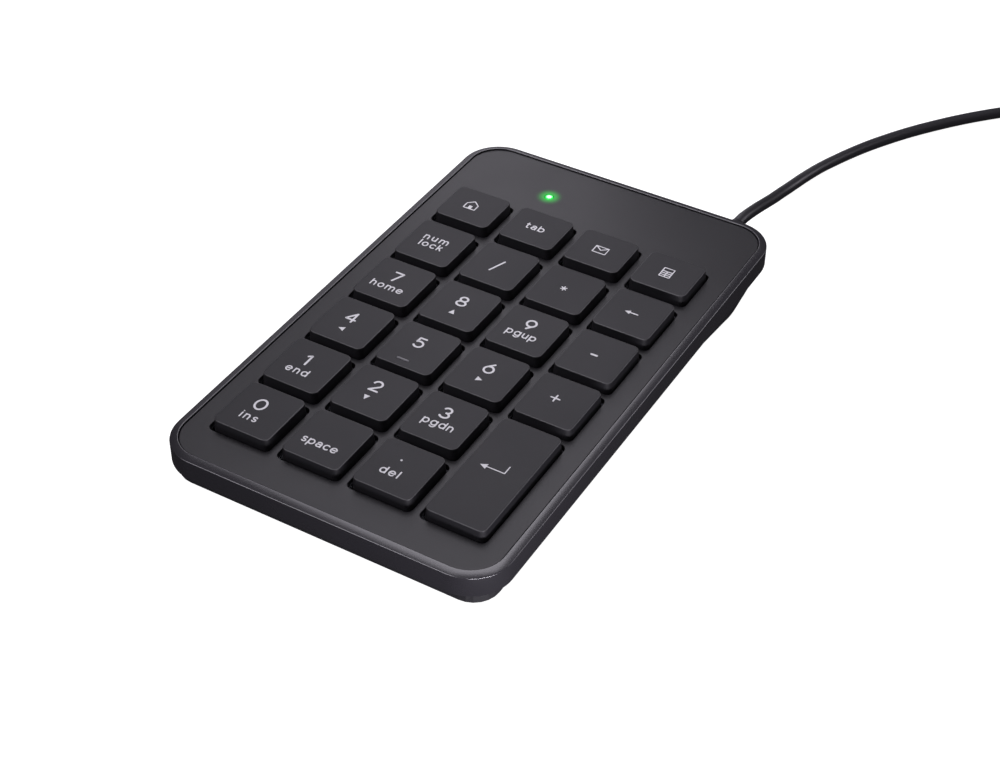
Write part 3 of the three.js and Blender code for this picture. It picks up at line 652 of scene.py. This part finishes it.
def digit(which, x, y):
    return [(PEN_DIGIT, s) for s in moved(DIGITS[which], x + PEN_DIGIT / 2, y + PEN_DIGIT / 2)]


def word(text, left, right, base):
    """Small letters set between two outer limits; base is the strokes' lower edge."""
    widths = [LETTERS[c][0] + PEN_SMALL for c in text]
    space = (right - left - sum(widths)) / (len(text) - 1)
    strokes = []
    x = left + PEN_SMALL / 2
    for c, w in zip(text, widths):
        strokes += [(PEN_SMALL, s) for s in moved(LETTERS[c][1], x, base + PEN_SMALL / 2)]
        x += w + space
    return strokes


def lines(pen, *strokes):
    return [(pen, list(s)) for s in strokes]


def patch(*corners):
    """A filled convex shape, as a stroke of no width."""
    return [(0, list(corners))]


def arrowhead(x, y, dx, dy, size=0.8):
    """Filled triangle whose tip points along (dx, dy)."""
    return patch((x + dx * size, y + dy * size), (x - dx * size - dy * size, y - dy * size + dx * size),
                 (x - dx * size + dy * size, y - dy * size - dx * size))


def home_icon():
    walls = [(1.05, 0.75), (1.05, -1.4), (-2.25, -1.4), (-2.25, 0.75), (-0.6, 2.1), (1.05, 0.75)]
    return lines(PEN_ICON, walls) + patch((-1.1, -1.3), (-0.1, -1.3), (-0.1, 0.0), (-1.1, 0.0))


def mail_icon():
    edge = [(1.6, 1.4), (1.6, -1.25), (-2.0, -1.25), (-2.0, 1.4), (1.6, 1.4)]
    return lines(PEN_ICON, edge, [(-1.9, 1.35), (-0.2, 0.0), (1.5, 1.35)])


def calculator_icon():
    edge = [(1.0, 1.9), (1.0, -1.7), (-1.8, -1.7), (-1.8, 1.9), (1.0, 1.9)]
    rows = [[(-1.8, y), (1.0, y)] for y in (0.55, -0.2, -0.95)]
    return lines(PEN_ICON, edge, *rows, [(-0.4, 0.55), (-0.4, -1.7)])


def star(x, y, size):
    return lines(PEN_ICON, *[[(x - size * math.cos(a), y - size * math.sin(a)),
                              (x + size * math.cos(a), y + size * math.sin(a))]
                             for a in (math.radians(d) for d in (90, 30, -30))])


# name, column, row (0 is the rear row), rows it spans, legend relative to the key's middle
KEYS = [
    ("key_home_page", 0, 0, 1, home_icon()),
    ("key_tab", 1, 0, 1, word("tab", -3.0, 2.4, -1.1)),
    ("key_mail", 2, 0, 1, mail_icon()),
    ("key_calculator", 3, 0, 1, calculator_icon()),
    ("key_numlock", 0, 1, 1, word("num", -4.0, 3.15, 0.25) + word("lock", -3.75, 2.95, -2.65)),
    ("key_divide", 1, 1, 1, lines(0.46, [(0.5, 2.0), (-1.3, -2.75)])),
    ("key_multiply", 2, 1, 1, star(-0.5, 0.05, 0.78)),
    ("key_backspace", 3, 1, 1, lines(0.4, [(-1.2, -0.1), (1.15, -0.1)]) + arrowhead(-1.6, -0.1, -1, 0, 0.72)),
    ("key_7", 0, 2, 1, digit("7", -1.9, -0.3) + word("home", -5.2, 4.05, -3.9)),
    ("key_8", 1, 2, 1, digit("8", -1.75, -0.35) + arrowhead(-0.3, -3.0, 0, 1)),
    ("key_9", 2, 2, 1, digit("9", -1.75, 0.15) + word("pgup", -4.5, 3.65, -3.25)),
    ("key_minus", 3, 2, 1, lines(0.58, [(-1.35, -0.05), (0.05, -0.05)])),
    ("key_4", 0, 3, 1, digit("4", -2.6, -0.45) + arrowhead(-1.0, -3.3, -1, 0)),
    ("key_5", 1, 3, 1, digit("5", -2.1, -0.35)),
    ("key_6", 2, 3, 1, digit("6", -1.85, -0.05) + arrowhead(-0.5, -2.7, 1, 0)),
    ("key_plus", 3, 3, 1, lines(0.42, [(-1.95, 0.45), (0.25, 0.45)], [(-0.85, 1.55), (-0.85, -0.65)])),
    ("key_1", 0, 4, 1, digit("1", -1.8, -0.4) + word("end", -4.05, 2.15, -3.95)),
    ("key_2", 1, 4, 1, digit("2", -2.15, -0.1) + arrowhead(-0.8, -2.65, 0, -1)),
    ("key_3", 2, 4, 1, digit("3", -2.2, 0.1) + word("pgdn", -4.5, 3.65, -3.15)),
    ("key_enter", 3, 5, 2, lines(0.28, [(-2.9, 0.85), (2.0, 0.85), (2.0, 3.3)])
     + arrowhead(-3.45, 0.85, -1, 0, 0.85)),
    ("key_0", 0, 5, 1, digit("0", -2.6, -0.2) + word("ins", -3.15, 1.5, -4.1)),
    ("key_space", 1, 5, 1, word("space", -5.3, 4.2, -3.6)),
    ("key_point", 2, 5, 1, lines(0.52, [(-0.95, 2.42), (-0.93, 2.4)]) + word("del", -3.6, 1.4, -3.25)),
]
FRONT_ROW = 5


def place_of(column, row, span):
    front = REAR_ROW_EDGE_Y if row == 0 else FRONT_EDGE_Y + (FRONT_ROW - row) * PITCH
    length = (KEY_L_SHORT if row == 0 else KEY_L) + (span - 1) * PITCH
    return KEY_FIELD_X + column * PITCH, front + length / 2, length


def unit(a, b):
    dx, dy = b[0] - a[0], b[1] - a[1]
    size = math.hypot(dx, dy) or 1
    return dx / size, dy / size


def round_turns(points, radius):
    """Splits sharp bends of an open polyline so that the ribbon keeps its width through them."""
    result = [points[0]]
    for a, b, c in zip(points, points[1:], points[2:]):
        (ux, uy), (vx, vy) = unit(a, b), unit(b, c)
        if ux * vx + uy * vy > 0.85:
            result.append(b)
            continue
        cut = min(radius, math.dist(a, b) / 2, math.dist(b, c) / 2)
        for k in range(5):
            t = k / 4
            p = (b[0] - ux * cut * (1 - t), b[1] - uy * cut * (1 - t))
            q = (b[0] + vx * cut * t, b[1] + vy * cut * t)
            result.append((p[0] + (q[0] - p[0]) * t, p[1] + (q[1] - p[1]) * t))
    return result + [points[-1]]


def ribbon(pen, points, z, verts, faces):
    """Adds a flat solid stroke: round ends on an open one, joined ends on a closed one."""
    closed = math.dist(points[0], points[-1]) < 1e-6
    points = round_turns(points, 0.12)
    if closed:
        points = points[:-1]
    n = len(points)
    left, right = [], []
    for i, p in enumerate(points):
        before = points[i - 1] if i or closed else p
        after = points[(i + 1) % n] if i + 1 < n or closed else p
        ux, uy = unit(before, after)
        left.append((p[0] - uy * pen / 2, p[1] + ux * pen / 2))
        right.append((p[0] + uy * pen / 2, p[1] - ux * pen / 2))
    rows = [list(pair) for pair in zip(left, right)]
    if not closed:
        rows = end_cap(points[1], points[0], pen)[::-1] + rows[1:-1] + \
            [pair[::-1] for pair in end_cap(points[-2], points[-1], pen)]
    base = len(verts)
    under = z - INK_TOP - INK_DEEP
    for (lx, ly), (rx, ry) in rows:
        verts += [(lx, ly, z), (rx, ry, z), (rx, ry, under), (lx, ly, under)]
    count = len(rows)
    for i in range(count if closed else count - 1):
        a, b = base + 4 * i, base + 4 * ((i + 1) % count)
        for k in range(4):
            m = (k + 1) % 4
            faces.append((a + k, b + k, b + m, a + m))
    if not closed:
        faces.append((base + 3, base + 2, base + 1, base))
        last = base + 4 * (count - 1)
        faces.append((last, last + 1, last + 2, last + 3))


def end_cap(inner, tip, pen):
    """Cross-rows of a round end, widest first: [left, right] as seen looking from the tip back to inner."""
    ux, uy = unit(inner, tip)
    rows = []
    for k in range(5):
        a = math.radians(84 * k / 4)
        half = pen / 2 * math.cos(a)
        ahead = pen / 2 * math.sin(a)
        cx, cy = tip[0] + ux * ahead, tip[1] + uy * ahead
        rows.append([(cx + uy * half, cy - ux * half), (cx - uy * half, cy + ux * half)])
    return rows


def legend(name, x, y, strokes):
    verts, faces = [], []
    for k, (pen, points) in enumerate(strokes):
        z = KEY_TOP + INK_TOP + 0.0015 * k
        points = [(x + px, y + py) for px, py in points]
        if pen:
            ribbon(pen, points, z, verts, faces)
            continue
        base, n = len(verts), len(points)
        area = sum(a[0] * b[1] - a[1] * b[0] for a, b in zip(points, points[1:] + points[:1]))
        points = points if area > 0 else points[::-1]
        verts += [(px, py, z) for px, py in points]
        verts += [(px, py, z - INK_TOP - INK_DEEP) for px, py in points]
        faces.append(tuple(base + i for i in range(n)))
        faces.append(tuple(base + n + i for i in reversed(range(n))))
        faces += [(base + i, base + n + i, base + n + (i + 1) % n, base + (i + 1) % n) for i in range(n)]
    return add_piece("legend_" + name[4:], verts, faces, MATERIALS["ink"], name + "_cap")


def homing_bar(x, y):
    """Raised bar on the 5 key, under the fingertip."""
    rounding = BAR_WIDTH / 2 - 0.16
    spring = KEY_TOP + 0.02
    profile = [(0, KEY_TOP - 0.1), (0, spring)] + fillet(rounding, spring, rounding, 170, 90, 3)
    verts, faces = skin(swept(profile, BAR_LENGTH, BAR_WIDTH, BAR_WIDTH / 2 - 0.01, 4, x + BAR_X, y + BAR_Y))
    return add_piece("homing_bar", verts, faces, MATERIALS["pale_bar"], "key_5_cap", sharp=60)


rim_moulding()
places = [place_of(column, row, span) for _, column, row, span, _ in KEYS]
keyway_plate(places)
for (name, _, _, _, strokes), (x, y, length) in zip(KEYS, places):
    keycap(name, x, y, length)
    legend(name, x, y, strokes)
    if name == "key_5":
        homing_bar(x, y)


# ---- CAD pieces that stay as they are, with finished edges and materials ----
CAD_LOOKS = {
    "bottom_cover": ("base", 0.25), "led_lens": ("lens", 0.08), "key_guide_chassis": ("inner", 0),
    "dome_sheet": ("silicone", 0), "membrane_circuit": ("film", 0), "controller_board": ("board", 0),
    "controller_chip": ("rim", 0), "led_chip": ("lens", 0), "rating_label": ("label", 0),
    "front_foot_1": ("rubber", 0.25), "front_foot_2": ("rubber", 0.25), "rear_foot_1": ("rubber", 0.25),
    "rear_foot_2": ("rubber", 0.25), "plug_shell": ("steel", 0.12), "plug_tongue": ("tongue", 0.1),
}
CAD_LOOKS |= {f"case_screw_{k}": ("screw", 0.1) for k in range(1, 6)}
for node, (look, edge) in CAD_LOOKS.items():
    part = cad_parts[node]
    part.data.materials.clear()
    part.data.materials.append(MATERIALS[look])
    if edge:
        weld = part.modifiers.new("weld", "WELD")
        weld.merge_threshold = 0.000002
        bevel = part.modifiers.new("edge", "BEVEL")
        bevel.width = edge * MM
        bevel.segments = 2
        bevel.limit_method = "ANGLE"
        bevel.angle_limit = math.radians(40)
        bevel.harden_normals = True


# ---- studio ----
STUDIO_TINT = (1.0, 0.965, 1.06)


def floor():
    mesh = bpy.data.meshes.new("studio_floor")
    size = 4
    mesh.from_pydata([(-size, -size, -0.0001), (size, -size, -0.0001), (size, size, -0.0001),
                      (-size, size, -0.0001)], [], [(0, 1, 2, 3)])
    material, nodes, _ = nodes_of("studio_white")
    shader = nodes["Principled BSDF"]
    shader.inputs["Base Color"].default_value = (0.3, 0.3, 0.3, 1)
    shader.inputs["Roughness"].default_value = 0.9
    shader.inputs["Emission Color"].default_value = (1, 1, 1, 1)
    shader.inputs["Emission Strength"].default_value = 1
    mesh.materials.append(material)
    piece = bpy.data.objects.new("studio_floor", mesh)
    bpy.context.collection.objects.link(piece)
    piece.visible_diffuse = False
    piece.visible_glossy = False


def toward(azimuth, elevation):
    """Unit vector in the row frame; azimuth in degrees from the rear (+Y) round to the left (-X)."""
    a, e = math.radians(azimuth), math.radians(elevation)
    return Vector((-math.sin(a) * math.cos(e), math.cos(a) * math.cos(e), math.sin(e)))


def softbox(name, azimuth, elevation, distance, width, height, power):
    """Rectangular soft light aimed at the middle of the keypad."""
    data = bpy.data.lights.new(name, "AREA")
    data.shape = "RECTANGLE"
    data.size = width
    data.size_y = height
    data.energy = power
    data.color = STUDIO_TINT
    light = bpy.data.objects.new(name, data)
    light.location = toward(azimuth, elevation) * distance
    light.rotation_euler = toward(azimuth, elevation).to_track_quat("Z", "Y").to_euler()
    light.visible_camera = False
    bpy.context.collection.objects.link(light)


def surround(base, *glows):
    """Dim even surround with soft bright patches, each (azimuth, elevation, reach in degrees, strength)."""
    world = bpy.data.worlds.new("studio")
    world.use_nodes = True
    nodes, links = world.node_tree.nodes, world.node_tree.links
    place = nodes.new("ShaderNodeTexCoord")
    total = None
    for azimuth, elevation, reach, strength in glows:
        facing = nodes.new("ShaderNodeVectorMath")
        facing.operation = "DOT_PRODUCT"
        facing.inputs[1].default_value = toward(azimuth, elevation)
        links.new(place.outputs["Generated"], facing.inputs[0])
        patch_of_light = nodes.new("ShaderNodeMapRange")
        patch_of_light.interpolation_type = "SMOOTHSTEP"
        patch_of_light.inputs["From Min"].default_value = math.cos(math.radians(reach))
        patch_of_light.inputs["To Max"].default_value = strength
        links.new(facing.outputs["Value"], patch_of_light.inputs["Value"])
        add = nodes.new("ShaderNodeMath")
        add.inputs[1].default_value = base
        links.new(patch_of_light.outputs["Result"], add.inputs[0])
        if total:
            links.new(total.outputs["Value"], add.inputs[1])
        total = add
    links.new(total.outputs["Value"], nodes["Background"].inputs["Strength"])
    nodes["Background"].inputs["Color"].default_value = (*STUDIO_TINT, 1)
    bpy.context.scene.world = world


floor()
surround(0.03,
         (38, 14, 22, 0.5),       # low behind: the left and rear runs of the rim
         (150, 42, 22, 6),        # front left: the keys' front edges and sides
         (317, 23, 18, 3.5),      # rear right: the keys' right edges
         (285, -30, 48, 0.04))    # off the table: the right wall
softbox("overhead_light", 30, 66, 0.45, 0.36, 0.4, 1.25)
softbox("rear_light", 30, 33, 0.42, 0.10, 0.22, 0.17)
softbox("corner_light", 226, 1, 0.2, 0.12, 0.006, 0.28)
